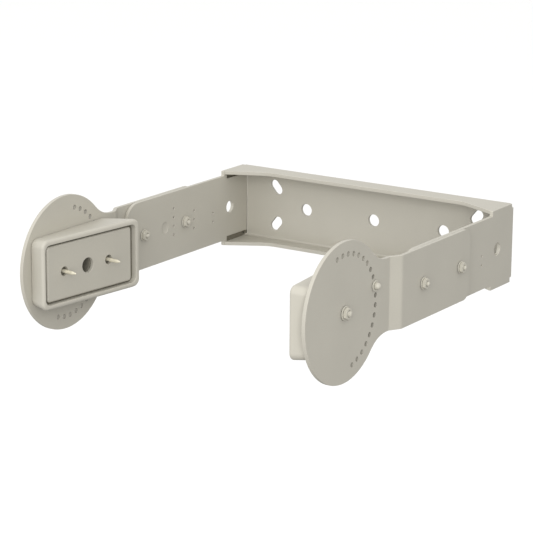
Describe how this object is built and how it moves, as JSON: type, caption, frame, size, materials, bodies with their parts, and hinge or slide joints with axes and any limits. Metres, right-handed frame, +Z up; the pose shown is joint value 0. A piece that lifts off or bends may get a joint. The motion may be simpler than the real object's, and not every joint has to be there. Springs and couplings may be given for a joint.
{
  "type": "wall yoke bracket",
  "caption": "U-shaped wall yoke bracket: folded channel with bolted side arms ending in pitch-index discs, each with a tilting wedge adapter that carries locating pins.",
  "frame": {"origin": "middle of the web's back face, on the wall plane, level with the pitch axis", "axes": "+Y into the wall, -Y out along the arms, +X to the right seen from the front, +Z up"},
  "size_m": [0.3696, 0.4166, 0.1424],
  "materials": {
    "powder_coat": "satin powder coat on folded steel sheet",
    "cast_coat": "satin powder coat on die-cast aluminium",
    "pad_coat": "satin powder coat on steel plate",
    "coated_fastener": "coated steel fastener",
    "passivated_steel": "yellow passivated steel",
    "friction_fibre": "pressed fibre"
  },
  "bodies": {
    "frame": {"yoke_channel": "powder_coat", "left_arm": "powder_coat", "right_arm": "powder_coat", "left_arm_rear_bolt": "coated_fastener", "left_arm_rear_washer": "coated_fastener", "left_arm_rear_nut": "coated_fastener", "left_arm_front_bolt": "coated_fastener", "left_arm_front_washer": "coated_fastener", "left_arm_front_nut": "coated_fastener", "right_arm_rear_bolt": "coated_fastener", "right_arm_rear_washer": "coated_fastener", "right_arm_rear_nut": "coated_fastener", "right_arm_front_bolt": "coated_fastener", "right_arm_front_washer": "coated_fastener", "right_arm_front_nut": "coated_fastener", "left_pivot_bolt": "coated_fastener", "left_pivot_washer": "coated_fastener", "left_pivot_nut": "coated_fastener", "right_pivot_bolt": "coated_fastener", "right_pivot_washer": "coated_fastener", "right_pivot_nut": "coated_fastener", "left_index_screw": "coated_fastener", "left_index_washer": "coated_fastener", "right_index_screw": "coated_fastener", "right_index_washer": "coated_fastener"},
    "left_adapter": {"left_adapter_housing": "cast_coat", "left_adapter_plate": "pad_coat", "left_front_pin": "passivated_steel", "left_rear_pin": "passivated_steel", "left_friction_washer": "friction_fibre"},
    "right_adapter": {"right_adapter_housing": "cast_coat", "right_adapter_plate": "pad_coat", "right_front_pin": "passivated_steel", "right_rear_pin": "passivated_steel", "right_friction_washer": "friction_fibre"}
  },
  "joints": [
    {"name": "left_pitch", "type": "hinge", "parent": "frame", "child": "left_adapter", "pos_m": [-0.1675, -0.3454, 0], "axis": [1, 0, 0], "range_deg": [-90, 90]},
    {"name": "right_pitch", "type": "hinge", "parent": "frame", "child": "right_adapter", "pos_m": [0.1675, -0.3454, 0], "axis": [1, 0, 0], "range_deg": [-90, 90]}
  ]
}
